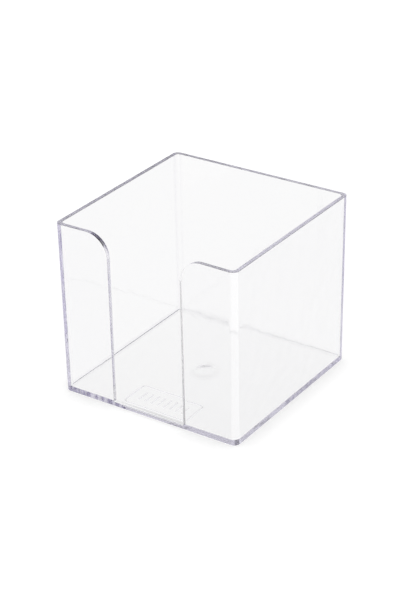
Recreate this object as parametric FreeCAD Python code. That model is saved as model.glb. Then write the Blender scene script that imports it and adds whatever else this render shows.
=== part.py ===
"""Clear moulded holder for a block of loose memo sheets.

An open-topped square box in one piece, moulded in clear polystyrene: a floor, four
drafted walls with rounded corners, and a wide notch with round shoulders that cuts the
front wall down to the floor, so that a thumb reaches the sheets. In the middle of the
floor is the gate well, a low round rise with a hollow below it that keeps the nub of
the runner off the table. A framed plate with plain bars is sunk into the underside near
the notch.

The frame: +Z up, the notch faces -Y, and the origin is on the table under the middle of
the box. Sizes are in millimetres.
"""

import FreeCAD
import Part

import math
import os

from FreeCAD import Vector

# The block of sheets that the box is made for
BLOCK_WIDTH = 90.0  # along X
BLOCK_DEPTH = 90.0  # along Y
BLOCK_CLEARANCE = 0.55  # each side, at the floor

# The shell
HEIGHT = 86.0
WALL = 2.1
FLOOR = 2.0
DRAFT = 0.3  # degrees off upright, so that the box widens upwards
CORNER_RADIUS = 3.0  # outside, on the four upright corners
INNER_RADIUS = 2.0  # inside, on the same corners, which are thicker than the walls
FLOOR_FILLET = 0.3  # inside, where the walls meet the floor
BASE_ROUND = 0.2  # outside, round the foot of the walls
RIM_ROUND = 0.2  # on the edges of the rim and of the notch

# The thumb notch in the front wall
NOTCH_WIDTH = 39.0
SHOULDER_RADIUS = 11.0

# The gate well in the middle of the floor
GATE_DIAMETER = 15.0
GATE_RISE = 0.25  # how far the floor rises, and the hollow below it
GATE_SLOPE = 3.0  # the width of the sloping edge round the flat middle of each
GATE_WALL = 1.0  # from the edge of the hollow out to the edge of the rise
NUB_DIAMETER = 2.0
NUB_SET_BACK = 0.1  # from the table up to the end of the nub

# The framed plate that is sunk into the underside, and its plain bars
PLATE_WIDTH = 35.0
PLATE_DEPTH = 17.0
PLATE_RADIUS = 2.5
PLATE_FROM_FRONT = 4.2  # from the outside of the front wall, at the table
GROOVE = 0.6  # the width of the frame's groove
SINKING = 0.25  # how deep the frame and the bars go into the floor
BAR_COUNT = 8
BAR_LENGTH = 7.0
BAR_WIDTH = 0.8
BAR_PITCH = 3.4

# Drawing aids: how far a cutter runs past what it cuts, and when two heights are one
OVERRUN = 5.0
SAME = 1e-3


def draft_shift(rise):
    """How far a drafted wall has moved outwards after this rise."""
    return rise * math.tan(math.radians(DRAFT))


def half_space(z):
    """Half the width and half the depth of the inside of the box at height z."""
    spread = BLOCK_CLEARANCE + draft_shift(z - FLOOR)
    return BLOCK_WIDTH / 2 + spread, BLOCK_DEPTH / 2 + spread


def half_outside(z):
    """Half the width and half the depth of the outside of the box at height z."""
    width, depth = half_space(z)
    return width + WALL, depth + WALL


def drafted_block(half_size, low, high, radius):
    """A block whose sides lean with the draft, with its upright edges rounded."""

    def corners(z):
        x, y = half_size(z)
        return [Vector(-x, -y, z), Vector(x, -y, z), Vector(x, y, z), Vector(-x, y, z)]

    below = corners(low)
    above = corners(high)
    rings = [below[::-1], above]
    for side in range(4):
        after = (side + 1) % 4
        rings.append([below[side], below[after], above[after], above[side]])
    faces = [Part.Face(Part.makePolygon([*ring, ring[0]])) for ring in rings]
    block = Part.makeSolid(Part.makeShell(faces))
    upright = [edge for edge in block.Edges if edge.BoundBox.ZLength > SAME]
    return block.makeFillet(radius, upright)


def lies_flat_at(edge, z):
    """Whether an edge runs level at height z."""
    box = edge.BoundBox
    return abs(box.ZMin - z) < SAME and abs(box.ZMax - z) < SAME


def whole_box():
    """The box before its notch is cut: the outside less the space for the sheets."""
    outside = drafted_block(half_outside, 0.0, HEIGHT, CORNER_RADIUS)
    foot = [edge for edge in outside.Edges if lies_flat_at(edge, 0.0)]
    outside = outside.makeFillet(BASE_ROUND, foot)
    space = drafted_block(half_space, FLOOR, HEIGHT + OVERRUN, INNER_RADIUS)
    return outside.cut(space)


def notch_cutter():
    """The notch: straight sides up from the floor, and round shoulders at the rim."""
    side = NOTCH_WIDTH / 2
    mouth = side + SHOULDER_RADIUS
    spring = HEIGHT - SHOULDER_RADIUS
    bulge = SHOULDER_RADIUS * (1 - math.sqrt(0.5))
    top = HEIGHT + OVERRUN
    front = -half_outside(HEIGHT)[1] - OVERRUN
    back = -half_space(FLOOR)[1] + SAME

    def point(x, z):
        return Vector(x, front, z)

    def line(start, end):
        return Part.LineSegment(start, end).toShape()

    right_shoulder = Part.Arc(
        point(side, spring), point(side + bulge, HEIGHT - bulge), point(mouth, HEIGHT)
    )
    left_shoulder = Part.Arc(
        point(-mouth, HEIGHT), point(-side - bulge, HEIGHT - bulge), point(-side, spring)
    )
    outline = Part.Wire(
        [
            line(point(-side, FLOOR), point(side, FLOOR)),
            line(point(side, FLOOR), point(side, spring)),
            right_shoulder.toShape(),
            line(point(mouth, HEIGHT), point(mouth, top)),
            line(point(mouth, top), point(-mouth, top)),
            line(point(-mouth, top), point(-mouth, HEIGHT)),
            left_shoulder.toShape(),
            line(point(-side, spring), point(-side, FLOOR)),
        ]
    )
    return Part.Face(outline).extrude(Vector(0, back - front, 0))


def is_finger_edge(edge):
    """Whether an edge is on the rim or on the notch, where fingers touch the box."""
    box = edge.BoundBox
    in_front_wall = box.YMax < -half_space(FLOOR)[1] + SAME
    within_mouth = max(-box.XMin, box.XMax) < NOTCH_WIDTH / 2 + SHOULDER_RADIUS + SAME
    on_notch_side = in_front_wall and within_mouth and box.ZLength > WALL
    sill_start = box.YMax < -half_space(FLOOR)[1] - SAME
    on_sill = sill_start and lies_flat_at(edge, FLOOR) and box.XLength > WALL
    return lies_flat_at(edge, HEIGHT) or on_notch_side or on_sill


def is_floor_corner(edge):
    """Whether an edge lies between the floor and the inside of a wall."""
    box = edge.BoundBox
    behind_sill = box.YMin > -half_space(FLOOR)[1] - SAME
    in_notch = max(-box.XMin, box.XMax) < NOTCH_WIDTH / 2 + RIM_ROUND + SAME
    return lies_flat_at(edge, FLOOR) and behind_sill and not in_notch


def low_rise(diameter, z):
    """A round rise of this diameter on height z, flat on top, with a sloping edge."""
    radius = diameter / 2
    return Part.makeCone(radius, radius - GATE_SLOPE, GATE_RISE, Vector(0, 0, z))


def gate_hollow():
    """What is taken out below the rise, with the nub of the runner left in it."""
    hollow = low_rise(GATE_DIAMETER - 2 * GATE_WALL, 0.0)
    nub = Part.makeCylinder(NUB_DIAMETER / 2, GATE_RISE, Vector(0, 0, NUB_SET_BACK))
    return hollow.cut(nub)


def rounded_slab(width, depth, radius, centre_y):
    """A slab as thick as the sinking, on the table, with its upright edges rounded."""
    corner = Vector(-width / 2, centre_y - depth / 2, 0)
    slab = Part.makeBox(width, depth, SINKING, corner)
    upright = [edge for edge in slab.Edges if edge.BoundBox.ZLength > SAME]
    return slab.makeFillet(radius, upright)


def plate_sinkings():
    """What the frame and the bars of the plate take out of the underside."""
    centre_y = -half_outside(0.0)[1] + PLATE_FROM_FRONT + PLATE_DEPTH / 2
    frame = rounded_slab(PLATE_WIDTH, PLATE_DEPTH, PLATE_RADIUS, centre_y)
    within = rounded_slab(
        PLATE_WIDTH - 2 * GROOVE,
        PLATE_DEPTH - 2 * GROOVE,
        PLATE_RADIUS - GROOVE,
        centre_y,
    )
    sinkings = [frame.cut(within)]
    for number in range(BAR_COUNT):
        x = (number - (BAR_COUNT - 1) / 2) * BAR_PITCH
        corner = Vector(x - BAR_WIDTH / 2, centre_y - BAR_LENGTH / 2, 0)
        sinkings.append(Part.makeBox(BAR_WIDTH, BAR_LENGTH, SINKING, corner))
    return sinkings


def holder_body():
    """The whole moulding."""
    body = whole_box().cut(notch_cutter())
    body = body.makeFillet(RIM_ROUND, [e for e in body.Edges if is_finger_edge(e)])
    body = body.makeFillet(FLOOR_FILLET, [e for e in body.Edges if is_floor_corner(e)])
    body = body.fuse(low_rise(GATE_DIAMETER, FLOOR))
    body = body.cut([gate_hollow(), *plate_sinkings()])
    return body.removeSplitter().Solids[0]


os.makedirs("parts", exist_ok=True)
holder = holder_body()
holder.exportStep("parts/holder_body.step")
size = holder.optimalBoundingBox()
print(
    f"holder_body: valid {holder.isValid()}, {holder.Volume / 1000:.2f} cm3, "
    f"{size.XLength:.2f} x {size.YLength:.2f} x {size.ZLength:.2f} mm"
)
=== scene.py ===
"""The looks of a clear moulded holder for a block of loose memo sheets.

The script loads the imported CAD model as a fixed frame, builds the box once more as one
mesh with its plastic, and adds the table, the light and the camera. Lengths are in
metres, in the CAD model's frame: +Z up, the thumb notch faces -Y, and the origin is on
the table under the middle of the box.
"""

import math

import bmesh
import bpy
from mathutils import Matrix, Vector
from mathutils.geometry import delaunay_2d_cdt


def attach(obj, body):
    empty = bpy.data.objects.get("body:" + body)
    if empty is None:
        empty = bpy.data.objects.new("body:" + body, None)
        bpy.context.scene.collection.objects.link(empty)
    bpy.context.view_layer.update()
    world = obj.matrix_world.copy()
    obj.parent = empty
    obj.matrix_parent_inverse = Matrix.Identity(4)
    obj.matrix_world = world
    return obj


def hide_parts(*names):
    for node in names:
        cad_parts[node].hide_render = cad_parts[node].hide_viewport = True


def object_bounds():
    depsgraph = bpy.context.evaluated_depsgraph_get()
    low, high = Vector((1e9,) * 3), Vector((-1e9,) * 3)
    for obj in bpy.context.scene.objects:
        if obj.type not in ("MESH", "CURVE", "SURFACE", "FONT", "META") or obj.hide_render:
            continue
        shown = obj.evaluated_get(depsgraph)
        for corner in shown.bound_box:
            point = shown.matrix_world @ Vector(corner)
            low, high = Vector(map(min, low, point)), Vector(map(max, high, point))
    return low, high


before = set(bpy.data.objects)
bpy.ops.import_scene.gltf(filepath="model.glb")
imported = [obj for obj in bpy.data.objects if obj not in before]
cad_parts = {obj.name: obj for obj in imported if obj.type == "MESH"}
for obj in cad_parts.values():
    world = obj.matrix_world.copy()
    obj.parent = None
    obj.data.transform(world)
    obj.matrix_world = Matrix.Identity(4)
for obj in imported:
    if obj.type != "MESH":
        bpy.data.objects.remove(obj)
cad_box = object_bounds()

MM = 0.001

# The shell, whose outer size comes from the frame
HALF_RIM = cad_box[1].x
HEIGHT = cad_box[1].z
WALL = 2.1 * MM
FLOOR = 2.0 * MM
DRAFT = math.radians(0.3)  # off upright, so that the box widens upwards
CORNER_RADIUS = 3.0 * MM  # outside, on the four upright corners
INNER_RADIUS = 2.0 * MM  # inside, on the same corners
FLOOR_FILLET = 0.3 * MM  # inside, where the walls meet the floor
BASE_ROUND = 0.2 * MM  # outside, round the foot of the walls
RIM_ROUND = 0.2 * MM  # on the edges of the rim and of the notch

# The thumb notch in the front wall
NOTCH_HALF = 19.5 * MM
SHOULDER_RADIUS = 11.0 * MM

# The gate well in the middle of the floor
GATE_RADIUS = 7.5 * MM
GATE_RISE = 0.25 * MM  # how far the floor rises, and the hollow below it
GATE_SLOPE = 3.0 * MM  # the width of the sloping edge of each
GATE_WALL = 1.0 * MM  # from the edge of the hollow out to the edge of the rise
NUB_RADIUS = 1.0 * MM
NUB_TAPER = 0.9  # the radius of the nub's end, as a share of that of its root
NUB_SET_BACK = 0.1 * MM  # from the table up to the end of the nub

# The framed plate that is sunk into the underside, and its plain bars
PLATE_SIZE = (35.0 * MM, 17.0 * MM)
PLATE_RADIUS = 2.5 * MM
PLATE_FROM_FRONT = 4.2 * MM  # from the outside of the front wall, at the table
GROOVE = 0.6 * MM  # the width of the frame's groove
SINKING = 0.25 * MM  # how deep the frame and the bars go into the floor
SINKING_SLOPE = SINKING / 2  # how far their sides lean in on the way
BAR_COUNT = 8
BAR_SIZE = (0.8 * MM, 7.0 * MM)
BAR_PITCH = 3.4 * MM

# How fine the mesh is
CORNER_STEPS = 14  # in a quarter of a circle, as are the shoulder's and the plate's
SHOULDER_STEPS = 28
PLATE_STEPS = 6
GATE_STEPS = 48  # in a whole circle
GATE_RINGS = 8  # up the slope of the gate well
ROUND_STEPS = 5  # across a rounded edge
SMOOTH_LIMIT = math.cos(math.radians(40))  # faces at a lower angle share a normal

# How faces are told apart: heights, and shares of a face's normal
SAME = 1e-6
FACING = 0.95  # of the normal, on a face that looks along an axis
LEANING = 0.05  # of the normal, on a wall that leans with the draft

# delaunay_2d_cdt's output of triangles inside the outline and outside its holes
FILL_BUT_HOLES = 2
FILL_PRECISION = 1e-9

# The plastic's body
PLASTIC_IOR = 1.59
ABSORB_COLOUR = (0.83, 0.81, 0.90, 1)
ABSORB_DENSITY = 16

# The waves in the walls, and how strong they are on the floor and the edges
WAVE_SCALE = 80.0
WAVE_DETAIL = 1.0
WAVE_HEIGHT = 0.17 * MM
FLOOR_WAVES = 0.15

# The level way across the box along which its edges get more matt and its haze clears
MATT_TOWARD = (-0.92, 0.39, 0)

# The roughness of a matt edge at the two ends of that way, and the share of it elsewhere
EDGE_ROUGHNESS = (0.27, 0.51)
NOTCH_FINISH = (0.6, 1.3)  # on the left and the right side of the notch
SHOULDER_FINISH = 0.3
GATE_FINISH = 0.3

# The haze: its roughness where its noise is low and high, and its share at the two ends
HAZE = (0.04, 0.065)
HAZE_SPREAD = (1.25, 0.3)
HAZE_SCALE = 250.0
HAZE_DETAIL = 3.0
HAZE_NOISE = (0.3, 0.7)  # the noise that counts as low, and as high

# The table, as it is seen in a reflection or through the plastic
TABLE_REACH = 3.0
AIR = 0.03 * MM  # between the table and the box
TABLE_WHITE = 0.08
TABLE_GLOW = 0.928

# The bright zone of the table, a sector from the near corner, which only reflections see
POOL_GLOW = 1.9
POOL_AZIMUTH = math.radians(325)
POOL_FULL = math.radians(50)  # off the azimuth, up to where it is fully bright
POOL_END = math.radians(80)

# The open table, as the camera sees it, and the shade on it close to the box
OPEN_WHITE = 0.6
OPEN_GLOW = 0.83
SHADE_SAMPLES = 16
SHADE_REACH = 12.0 * MM
SHADE_DEPTH = 0.16
SHADE_FULL = 0.5  # the share of open sky at the foot of a wall

# The light round the table: degrees above the horizon, and how bright it is there
WORLD_STOPS = ((0, 1.0), (20, 1.0), (28, 0.95), (35, 0.6), (42, 0.3), (50, 0.2), (90, 0.2))
WORLD_STRENGTH = 0.96
LIGHT_BOUNCES = 64  # so that light travels the whole length of a wall

# The camera
LENS = 108.683
CAMERA_AT = (0.41934, -0.61852, 0.42853)
AZIMUTH = math.radians(34.304)  # to the right of straight in front
ELEVATION = math.radians(27.536)
ROLL = math.radians(-1.089)
CLIP_START = 0.05
CLIP_END = 20


# ---------------------------------------------------------------- outlines


def half_out(z):
    """Half the width of the outside of the box at height z."""
    return HALF_RIM - (HEIGHT - z) * math.tan(DRAFT)


def half_in(z):
    """Half the width of the inside of the box at height z."""
    return half_out(z) - WALL


def rounded_rectangle(size, radius, centre_y, z, steps):
    """Points round a rounded rectangle, anticlockwise from the right end of its front side."""
    points = []
    for corner, (side_x, side_y) in enumerate(((1, -1), (1, 1), (-1, 1), (-1, -1))):
        for step in range(steps + 1):
            angle = math.radians(90 * (corner - 1 + step / steps))
            x = side_x * (size[0] / 2 - radius) + radius * math.cos(angle)
            y = side_y * (size[1] / 2 - radius) + radius * math.sin(angle)
            points.append((x, centre_y + y, z))
    return points


def rounded_square(half, radius, z):
    """Points round a level section of the box, in the same order."""
    return rounded_rectangle((2 * half, 2 * half), radius, 0, z, CORNER_STEPS)


def rectangle(size, centre, z):
    """The corners of a rectangle, anticlockwise."""
    x, y = size[0] / 2, size[1] / 2
    corners = ((-x, -y), (x, -y), (x, y), (-x, y))
    return [(centre[0] + a, centre[1] + b, z) for a, b in corners]


def circle(radius, z):
    """Points anticlockwise round a circle about the middle of the box."""
    angles = [2 * math.pi * step / GATE_STEPS for step in range(GATE_STEPS)]
    return [(radius * math.cos(a), radius * math.sin(a), z) for a in angles]


def notch_side():
    """The left side of the notch as (x, z), from the rim down to the floor."""
    spring = HEIGHT - SHOULDER_RADIUS
    mouth = NOTCH_HALF + SHOULDER_RADIUS
    points = []
    for step in range(SHOULDER_STEPS + 1):
        angle = math.radians(90 * step / SHOULDER_STEPS)
        x = -mouth + SHOULDER_RADIUS * math.sin(angle)
        points.append((x, spring + SHOULDER_RADIUS * math.cos(angle)))
    return [*points, (-NOTCH_HALF, FLOOR)]


def on_front(side, half):
    """Places a side of the notch on the front wall's outside or inside."""
    return [(x, -half(z), z) for x, z in side]


# ---------------------------------------------------------------- the mesh


def add_points(bm, points):
    """Adds points to the mesh, and returns them as its vertices."""
    return [bm.verts.new(point) for point in points]


def join_runs(bm, first, second):
    """Joins two open runs of equal length with quads."""
    for k in range(len(first) - 1):
        bm.faces.new((first[k], first[k + 1], second[k + 1], second[k]))


def join_loops(bm, loops, up):
    """Joins closed loops of equal length with quads, each to the next one inwards."""
    for outer, inner in zip(loops, loops[1:]):
        for k in range(len(outer)):
            after = (k + 1) % len(outer)
            quad = (outer[k], outer[after], inner[after], inner[k])
            bm.faces.new(quad if up else quad[::-1])


def cap(bm, loop, up):
    """Closes a loop, which runs anticlockwise from above, with a face that looks up or down."""
    bm.faces.new(loop if up else loop[::-1])


def fill(bm, outline, holes, up):
    """Fills the flat area between a closed outline and the loops within it."""
    verts = [*outline]
    rings = [list(range(len(outline)))]
    for hole in holes:
        rings.append(list(range(len(verts), len(verts) + len(hole))))
        verts += hole
    flat = [vert.co.xy for vert in verts]
    filled = delaunay_2d_cdt(flat, [], rings, FILL_BUT_HOLES, FILL_PRECISION)
    triangles, sources = filled[2], filled[3]
    for triangle in triangles:
        cap(bm, [verts[sources[corner][0]] for corner in triangle], up)


def build_shell(bm):
    """The box with sharp edges. Returns the edges of its rim and its notch."""
    out_low = add_points(bm, rounded_square(half_out(0), CORNER_RADIUS, 0))
    out_top = add_points(bm, rounded_square(half_out(HEIGHT), CORNER_RADIUS, HEIGHT))
    in_low = add_points(bm, rounded_square(half_in(FLOOR), INNER_RADIUS, FLOOR))
    in_top = add_points(bm, rounded_square(half_in(HEIGHT), INNER_RADIUS, HEIGHT))
    left = notch_side()
    right = [(-x, z) for x, z in reversed(left)]
    left_out = add_points(bm, on_front(left, half_out))
    right_out = add_points(bm, on_front(right, half_out))
    left_in = add_points(bm, on_front(left, half_in))
    right_in = add_points(bm, on_front(right, half_in))

    # The walls and the rim, all but the front
    join_runs(bm, out_low, out_top)
    join_runs(bm, in_top, in_low)
    join_runs(bm, out_top, in_top)

    # The front wall and its rim, beside the notch
    face = bm.faces.new
    notch_out = [*left_out, *right_out]
    face([out_low[-1], out_low[0], out_top[0], *notch_out[::-1], out_top[-1]])
    face([in_low[-1], in_top[-1], *left_in])
    face([in_low[0], *right_in, in_top[0]])
    face([out_top[-1], left_out[0], left_in[0], in_top[-1]])
    face([right_out[-1], out_top[0], in_top[0], right_in[-1]])

    # The sides of the notch, the floor with the sill, and the underside
    join_runs(bm, left_out, left_in)
    join_runs(bm, right_out, right_in)
    cap(bm, [*in_low, left_in[-1], left_out[-1], right_out[0], right_in[0]], up=True)
    cap(bm, out_low, up=False)

    outer_edge = [*out_top, *notch_out, out_top[0]]
    inner_edge = [*right_in, *in_top, *left_in]
    pairs = [*zip(outer_edge, outer_edge[1:]), *zip(inner_edge, inner_edge[1:])]
    return [bm.edges.get(pair) for pair in pairs]


def round_edges(bm, edges, radius):
    """Rounds edges with this radius."""
    bmesh.ops.bevel(
        bm,
        geom=edges,
        offset=radius,
        offset_type="OFFSET",
        segments=ROUND_STEPS,
        profile=0.5,  # a circle
        affect="EDGES",
        clamp_overlap=False,
        loop_slide=True,
    )


def lies_flat_at(edge, z):
    """Whether an edge runs level at height z."""
    return all(abs(vert.co.z - z) < SAME for vert in edge.verts)


def is_floor_corner(edge):
    """Whether an edge lies between the floor and the inside of a wall."""
    middle = (edge.verts[0].co + edge.verts[1].co) / 2
    in_notch = middle.y < 0 and abs(middle.x) < NOTCH_HALF + RIM_ROUND + SAME
    return lies_flat_at(edge, FLOOR) and not in_notch and not edge.is_convex


def rise_loops(bm, radius, base):
    """Loops up a rounded step, from this radius at height base to the flat at its top."""
    loops = []
    for ring in range(GATE_RINGS + 1):
        share = ring / GATE_RINGS
        rise = GATE_RISE * (1 - math.cos(math.pi * share)) / 2
        loops.append(add_points(bm, circle(radius - GATE_SLOPE * share, base + rise)))
    return loops


def add_gate_rise(bm, floor):
    """The low rise of the gate well, in the middle of the floor."""
    outline = list(floor.verts)
    bm.faces.remove(floor)
    rise = rise_loops(bm, GATE_RADIUS, FLOOR)
    fill(bm, outline, [rise[0]], up=True)
    join_loops(bm, rise, up=True)
    cap(bm, rise[-1], up=True)


def add_gate_hollow(bm):
    """The hollow below the rise, with the nub of the runner in it. Returns its edge."""
    hollow = rise_loops(bm, GATE_RADIUS - GATE_WALL, 0)
    nub = [
        add_points(bm, circle(NUB_RADIUS, GATE_RISE)),
        add_points(bm, circle(NUB_RADIUS * NUB_TAPER, NUB_SET_BACK)),
    ]
    join_loops(bm, hollow, up=False)
    fill(bm, hollow[-1], [nub[0]], up=False)
    join_loops(bm, nub, up=False)
    cap(bm, nub[-1], up=False)
    return hollow[0]


def add_plate(bm):
    """The plate in the underside: its frame and its bars. Returns the frame's edge."""
    centre_y = -half_out(0) + PLATE_FROM_FRONT + PLATE_SIZE[1] / 2
    groove_profile = (
        (0, 0),
        (SINKING_SLOPE, SINKING),
        (GROOVE - SINKING_SLOPE, SINKING),
        (GROOVE, 0),
    )
    groove = []
    for inset, z in groove_profile:
        size = [side - 2 * inset for side in PLATE_SIZE]
        points = rounded_rectangle(size, PLATE_RADIUS - inset, centre_y, z, PLATE_STEPS)
        groove.append(add_points(bm, points))
    join_loops(bm, groove, up=False)
    bars = []
    bar_top = [side - 2 * SINKING_SLOPE for side in BAR_SIZE]
    for number in range(BAR_COUNT):
        centre = ((number - (BAR_COUNT - 1) / 2) * BAR_PITCH, centre_y)
        bar = [
            add_points(bm, rectangle(BAR_SIZE, centre, 0)),
            add_points(bm, rectangle(bar_top, centre, SINKING)),
        ]
        join_loops(bm, bar, up=False)
        cap(bm, bar[-1], up=False)
        bars.append(bar[0])
    fill(bm, groove[-1], bars, up=False)
    return groove[0]


def finish_underside(bm, under):
    """The gate hollow and the plate, in the underside."""
    outline = list(under.verts)
    bm.faces.remove(under)
    fill(bm, outline, [add_gate_hollow(bm), add_plate(bm)], up=False)


def loop_normals(mesh):
    """Normals that keep flat faces flat and run smoothly over the rounds between them.

    At each corner of each face, the faces that meet there at a low angle are averaged,
    and the largest counts most.
    """
    faces_at = [[] for _ in mesh.vertices]
    for polygon in mesh.polygons:
        for vertex in polygon.vertices:
            faces_at[vertex].append((polygon.normal.copy(), polygon.area))
    result = []
    for polygon in mesh.polygons:
        for vertex in polygon.vertices:
            total = Vector((0, 0, 0))
            for normal, area in faces_at[vertex]:
                if normal.dot(polygon.normal) > SMOOTH_LIMIT:
                    total += normal * area**2
            result.append(total.normalized())
    return result


def is_cut_face(polygon):
    """Whether a face is on the cut side of the notch, and not on a face of the wall."""
    centre = polygon.center
    in_mouth = abs(centre.x) < NOTCH_HALF + SHOULDER_RADIUS
    in_front_wall = centre.y < -half_in(FLOOR)
    return in_mouth and in_front_wall and abs(polygon.normal.y) < FACING


def edge_finish(polygon):
    """How matt a face is: the rim and the notch, and a little on the slopes of the gate."""
    centre = polygon.center
    if centre.z > HEIGHT - RIM_ROUND:
        return 1.0
    if centre.z > FLOOR and is_cut_face(polygon):
        if centre.z > HEIGHT - SHOULDER_RADIUS:
            return SHOULDER_FINISH
        return NOTCH_FINISH[0] if centre.x < 0 else NOTCH_FINISH[1]
    from_gate = math.hypot(centre.x, centre.y)
    on_slopes = GATE_RADIUS - GATE_SLOPE - GATE_WALL < from_gate < GATE_RADIUS
    return GATE_FINISH if on_slopes else 0.0


def waviness(polygon):
    """How wavy a face is: the walls, and a little the floor and the edges."""
    is_upright = abs(polygon.normal.z) < LEANING
    below_rim = polygon.center.z < HEIGHT - RIM_ROUND
    return 1.0 if is_upright and below_rim and not is_cut_face(polygon) else FLOOR_WAVES


def add_object(name, data):
    """A new object in the scene."""
    made = bpy.data.objects.new(name, data)
    bpy.context.scene.collection.objects.link(made)
    return made


def make_box():
    """The box as one object, with the two face values that its plastic reads."""
    bm = bmesh.new()
    round_edges(bm, build_shell(bm), RIM_ROUND)
    round_edges(bm, [edge for edge in bm.edges if lies_flat_at(edge, 0)], BASE_ROUND)
    round_edges(bm, [edge for edge in bm.edges if is_floor_corner(edge)], FLOOR_FILLET)
    by_facing = sorted(bm.faces, key=lambda face: face.calc_area() * face.normal.z)
    under, floor = by_facing[0], by_facing[-1]
    add_gate_rise(bm, floor)
    finish_underside(bm, under)
    mesh = bpy.data.meshes.new("clear_box")
    bm.to_mesh(mesh)
    bm.free()
    mesh.shade_smooth()
    for name, value_of in (("edge_finish", edge_finish), ("waviness", waviness)):
        attribute = mesh.attributes.new(name, "FLOAT", "FACE")
        attribute.data.foreach_set("value", [value_of(polygon) for polygon in mesh.polygons])
    mesh.normals_split_custom_set(loop_normals(mesh))
    return add_object("clear_box", mesh)


# ---------------------------------------------------------------- nodes


def set_inputs(tree, node, inputs):
    """Gives each of a node's inputs a plain value, or links it to another node's output."""
    for name, value in inputs.items():
        if isinstance(value, bpy.types.NodeSocket):
            tree.links.new(value, node.inputs[name])
        else:
            node.inputs[name].default_value = value


def add_node(tree, kind, inputs=None, **settings):
    """Adds a node of this kind, with its settings and inputs."""
    node = tree.nodes.new("ShaderNode" + kind)
    for name, value in settings.items():
        setattr(node, name, value)
    set_inputs(tree, node, inputs or {})
    return node


def noise(tree, place, scale, detail):
    """A fine cloud in space, from about 0 to 1."""
    inputs = {"Vector": place, "Scale": scale, "Detail": detail}
    return add_node(tree, "TexNoise", inputs).outputs["Fac"]


def face_value(tree, name):
    """A value that the mesh holds for each face."""
    return add_node(tree, "Attribute", attribute_name=name).outputs["Fac"]


def combine(tree, operation, first, second):
    """The result of a math node on two values."""
    return add_node(tree, "Math", {0: first, 1: second}, operation=operation).outputs[0]


def map_range(tree, value, start, end, low, high, ease="LINEAR"):
    """A value that runs from low to high while another runs from start to end."""
    inputs = {"Value": value, "From Min": start, "From Max": end, "To Min": low, "To Max": high}
    return add_node(tree, "MapRange", inputs, interpolation_type=ease).outputs["Result"]


def combine_vectors(tree, operation, first, second, output="Vector"):
    """The result of a vector math node on two vectors."""
    inputs = {0: first, 1: second}
    return add_node(tree, "VectorMath", inputs, operation=operation).outputs[output]


# ---------------------------------------------------------------- the plastic


def plastic_roughness(tree, place):
    """The roughness of the plastic: its matt edges, and elsewhere the haze."""
    way = Vector(MATT_TOWARD).normalized() / HALF_RIM
    across = combine_vectors(tree, "DOT_PRODUCT", place, way, "Value")
    edge_rough = map_range(tree, across, -1, 1, *EDGE_ROUGHNESS)
    matt = combine(tree, "MULTIPLY", face_value(tree, "edge_finish"), edge_rough)
    cloud = noise(tree, place, HAZE_SCALE, HAZE_DETAIL)
    haze = map_range(tree, cloud, *HAZE_NOISE, *HAZE)
    spread = map_range(tree, across, -1, 1, *HAZE_SPREAD)
    return combine(tree, "MAXIMUM", matt, combine(tree, "MULTIPLY", haze, spread))


def clear_plastic():
    """Clear polystyrene with wavy walls and matt edges, faintly violet in its depth."""
    material = bpy.data.materials.new("clear_polystyrene")
    material.use_nodes = True
    tree = material.node_tree
    place = add_node(tree, "TexCoord").outputs["Object"]
    bump = add_node(
        tree,
        "Bump",
        {
            "Strength": face_value(tree, "waviness"),
            "Distance": WAVE_HEIGHT,
            "Height": noise(tree, place, WAVE_SCALE, WAVE_DETAIL),
        },
    )
    surface = {
        "Base Color": (1, 1, 1, 1),
        "Roughness": plastic_roughness(tree, place),
        "IOR": PLASTIC_IOR,
        "Transmission Weight": 1.0,
        "Normal": bump.outputs["Normal"],
    }
    set_inputs(tree, tree.nodes["Principled BSDF"], surface)
    depth = {"Color": ABSORB_COLOUR, "Density": ABSORB_DENSITY}
    volume = add_node(tree, "VolumeAbsorption", depth).outputs["Volume"]
    set_inputs(tree, tree.nodes["Material Output"], {"Volume": volume})
    return material


# ---------------------------------------------------------------- table, light, camera


def pool_glow(tree):
    """How bright a reflection sees the table: the pool, and the plain level beside it."""
    round_middle = half_out(0) - CORNER_RADIUS
    near_corner = (round_middle, -round_middle, -AIR)
    place = add_node(tree, "TexCoord").outputs["Object"]
    from_corner = combine_vectors(tree, "SUBTRACT", place, near_corner)
    heading = add_node(tree, "VectorMath", {0: from_corner}, operation="NORMALIZE").outputs[0]
    middle = (math.cos(POOL_AZIMUTH), math.sin(POOL_AZIMUTH), 0)
    toward = combine_vectors(tree, "DOT_PRODUCT", heading, middle, "Value")
    end, full = math.cos(POOL_END), math.cos(POOL_FULL)
    return map_range(tree, toward, end, full, TABLE_GLOW, POOL_GLOW, "SMOOTHSTEP")


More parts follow.
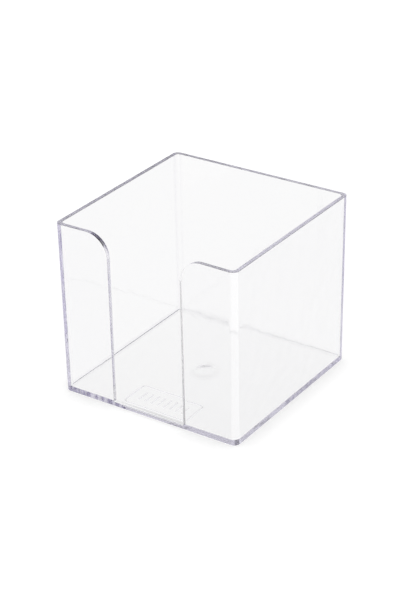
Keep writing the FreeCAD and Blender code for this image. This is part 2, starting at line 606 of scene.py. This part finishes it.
def white_table():
    """The table, with a glow of its own for each way in which it is seen."""
    material = bpy.data.materials.new("white_table")
    material.use_nodes = True
    tree = material.node_tree
    tree.nodes.clear()
    rays = add_node(tree, "LightPath").outputs

    def by_ray(name, otherwise, seen):
        return map_range(tree, rays[name], 0, 1, otherwise, seen)

    not_through = by_ray("Is Transmission Ray", 1, 0)
    reflected = combine(tree, "MULTIPLY", rays["Is Glossy Ray"], not_through)
    in_mirror = combine(tree, "MULTIPLY", pool_glow(tree), reflected)
    through_plastic = by_ray("Is Transmission Ray", 0, TABLE_GLOW)
    out_of_view = combine(tree, "MAXIMUM", in_mirror, through_plastic)
    sky = add_node(tree, "AmbientOcclusion", {"Distance": SHADE_REACH}, samples=SHADE_SAMPLES)
    darkest = OPEN_GLOW - SHADE_DEPTH
    shaded = map_range(tree, sky.outputs["AO"], SHADE_FULL, 1, darkest, OPEN_GLOW)
    in_view = combine(tree, "MULTIPLY", shaded, rays["Is Camera Ray"])
    glow = add_node(tree, "Emission", {"Strength": combine(tree, "ADD", out_of_view, in_view)})
    white = by_ray("Is Camera Ray", TABLE_WHITE, OPEN_WHITE)
    paint = add_node(tree, "BsdfDiffuse", {"Color": white})
    both = add_node(tree, "AddShader", {0: paint.outputs[0], 1: glow.outputs[0]})
    add_node(tree, "OutputMaterial", {"Surface": both.outputs[0]})
    return material


def make_table():
    """The table, just below the box."""
    mesh = bpy.data.meshes.new("table")
    corners = rectangle((2 * TABLE_REACH, 2 * TABLE_REACH), (0, 0), -AIR)
    mesh.from_pydata(corners, [], [(0, 1, 2, 3)])
    mesh.materials.append(white_table())
    add_object("table", mesh)


def make_world():
    """Soft light from all round, darker overhead."""
    world = bpy.data.worlds.new("studio")
    world.use_nodes = True
    bpy.context.scene.world = world
    tree = world.node_tree
    place = add_node(tree, "TexCoord").outputs["Generated"]
    height = add_node(tree, "SeparateXYZ", {0: place}).outputs["Z"]
    ramp = add_node(tree, "ValToRGB", {"Fac": height})
    elements = ramp.color_ramp.elements
    elements.remove(elements[1])
    for number, (degrees, value) in enumerate(WORLD_STOPS):
        position = math.sin(math.radians(degrees))
        element = elements[0] if number == 0 else elements.new(position)
        element.position = position
        element.color = (value, value, value, 1)
    light = {"Color": ramp.outputs["Color"], "Strength": WORLD_STRENGTH}
    set_inputs(tree, tree.nodes["Background"], light)


def make_camera():
    """The camera, which looks down at the near corner of the box."""
    data = bpy.data.cameras.new("camera")
    data.lens = LENS
    data.clip_start = CLIP_START
    data.clip_end = CLIP_END
    camera = add_object("camera", data)
    level = math.cos(ELEVATION)
    forward = Vector(
        (-math.sin(AZIMUTH) * level, math.cos(AZIMUTH) * level, -math.sin(ELEVATION))
    )
    turn = forward.to_track_quat("-Z", "Y").to_matrix() @ Matrix.Rotation(ROLL, 3, "Z")
    camera.matrix_world = Matrix.Translation(CAMERA_AT) @ turn.to_4x4()
    bpy.context.scene.camera = camera


box = make_box()
box.data.materials.append(clear_plastic())
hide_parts("holder_body")
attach(box, "root")
make_table()
make_world()
make_camera()
bpy.context.scene.view_settings.view_transform = "Standard"
cycles = bpy.context.scene.cycles
cycles.max_bounces = LIGHT_BOUNCES
cycles.transmission_bounces = LIGHT_BOUNCES
cycles.glossy_bounces = LIGHT_BOUNCES
